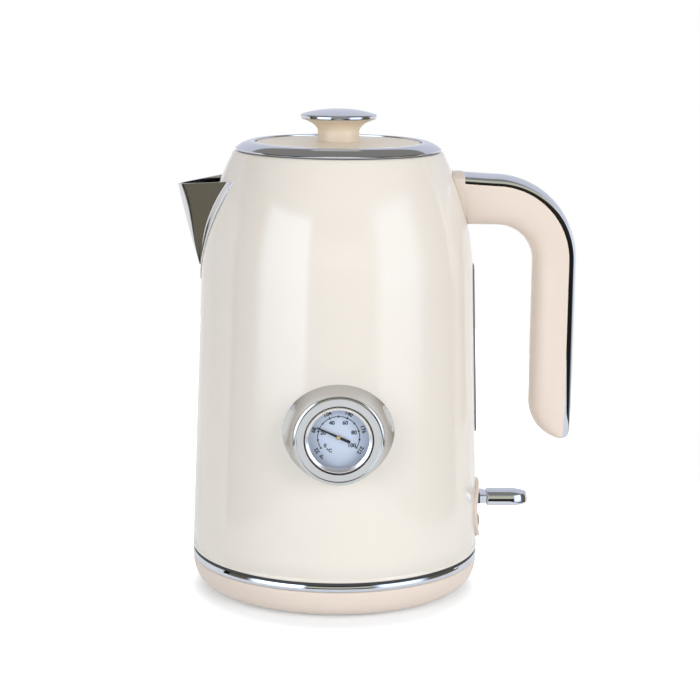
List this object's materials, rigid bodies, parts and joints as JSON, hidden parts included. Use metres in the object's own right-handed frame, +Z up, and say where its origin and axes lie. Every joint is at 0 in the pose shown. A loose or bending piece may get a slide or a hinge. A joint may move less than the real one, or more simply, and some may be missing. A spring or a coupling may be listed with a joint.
{
  "type": "electric kettle",
  "caption": "Retro electric kettle: steel jug with a folded spout, lift-off lid and knob, dial thermometer, water window, curved handle, rocker switch and swivelling power base",
  "frame": {"origin": "on the table under the jug's axis, at the plane of the power base's feet", "axes": "+Z up along the jug's axis, +X towards the handle, -X towards the spout, -Y towards the thermometer"},
  "size_m": [0.2055, 0.1605, 0.248],
  "materials": {
    "cream_paint": "gloss enamel over pressed steel",
    "cream_plastic": "satin moulded plastic",
    "chrome": "bright plated",
    "polished_steel": "polished stainless sheet",
    "plain_steel": "plain stainless",
    "aluminium": "cast",
    "brass": "bare",
    "black_plastic": "moulded",
    "white_plastic": "moulded",
    "grey_plastic": "smoked, glossy",
    "clear_plastic": "clear moulded",
    "amber_plastic": "tinted lens",
    "dial_glass": "clear",
    "dial_paint": "printed card",
    "needle_black": "matte",
    "silicone": "soft",
    "rubber": "soft",
    "wire_brown": "insulation"
  },
  "bodies": {
    "power_base": {"base_shell": "cream_plastic", "base_plate": "black_plastic", "base_feet": "rubber", "base_screws": "plain_steel", "cord_bush": "black_plastic", "base_terminal_block": "white_plastic", "base_wires": "wire_brown"},
    "connector": {"connector_housing": "black_plastic", "connector_rings": "brass", "connector_pin": "brass"},
    "jug": {"jug_shell": "cream_paint", "foot_ring": "chrome", "bottom_cover": "black_plastic", "cover_screws": "plain_steel", "heater_plate": "plain_steel", "heating_element": "aluminium", "thermostat_control": "black_plastic", "boil_dry_discs": "brass", "coupler_socket": "black_plastic", "coupler_contacts": "brass", "steam_switch": "black_plastic", "steam_bimetal": "brass", "switch_carrier": "black_plastic", "internal_wires": "wire_brown", "steam_tube": "plain_steel", "spout": "polished_steel", "spout_flange": "polished_steel", "filter_rails": "grey_plastic", "window_frame": "grey_plastic", "window_lens": "clear_plastic", "window_gasket": "silicone", "handle_grip": "cream_plastic", "handle_trim": "chrome", "handle_bracket": "plain_steel", "handle_screws": "plain_steel", "dial_housing": "chrome", "dial_bezel": "chrome", "dial_lens": "dial_glass", "dial_face": "dial_paint", "dial_case": "plain_steel", "dial_stem": "plain_steel", "dial_washer": "silicone", "dial_nut": "plain_steel", "switch_bezel": "cream_plastic", "indicator_lens": "amber_plastic", "indicator_lamp": "amber_plastic"},
    "filter": {"filter_frame": "grey_plastic", "filter_mesh": "plain_steel"},
    "lid": {"lid_rim": "chrome", "lid_disc": "cream_plastic", "lid_cup": "plain_steel", "lid_seal": "silicone", "knob_stem": "cream_plastic", "knob_cap": "chrome", "knob_screw": "plain_steel"},
    "lever": {"lever_paddle": "chrome", "lever_rocker": "black_plastic"},
    "needle": {"needle_pointer": "needle_black", "needle_hub": "brass"}
  },
  "joints": [
    {"name": "swivel", "type": "hinge", "parent": "power_base", "child": "connector", "pos_m": [0, 0, 0.012], "axis": [0, 0, 1], "continuous": true},
    {"name": "jug_lift", "type": "slide", "parent": "connector", "child": "jug", "axis": [0, 0, 1], "range_m": [0, 0.06]},
    {"name": "lid_lift", "type": "slide", "parent": "jug", "child": "lid", "axis": [0, 0, 1], "range_m": [0, 0.06]},
    {"name": "filter_lift", "type": "slide", "parent": "jug", "child": "filter", "axis": [0, 0, 1], "range_m": [0, 0.01]},
    {"name": "lever_tilt", "type": "hinge", "parent": "jug", "child": "lever", "pos_m": [0.066, 0, 0.044], "axis": [0, 1, 0], "range_deg": [0, 12], "stiffness_Nm_per_rad": 0.5, "springref_deg": -5.73},
    {"name": "needle_turn", "type": "hinge", "parent": "jug", "child": "needle", "pos_m": [0, -0.0771, 0.0946], "axis": [0, 1, 0], "range_deg": [-57.3, 187.6], "stiffness_Nm_per_rad": 0.0002}
  ]
}
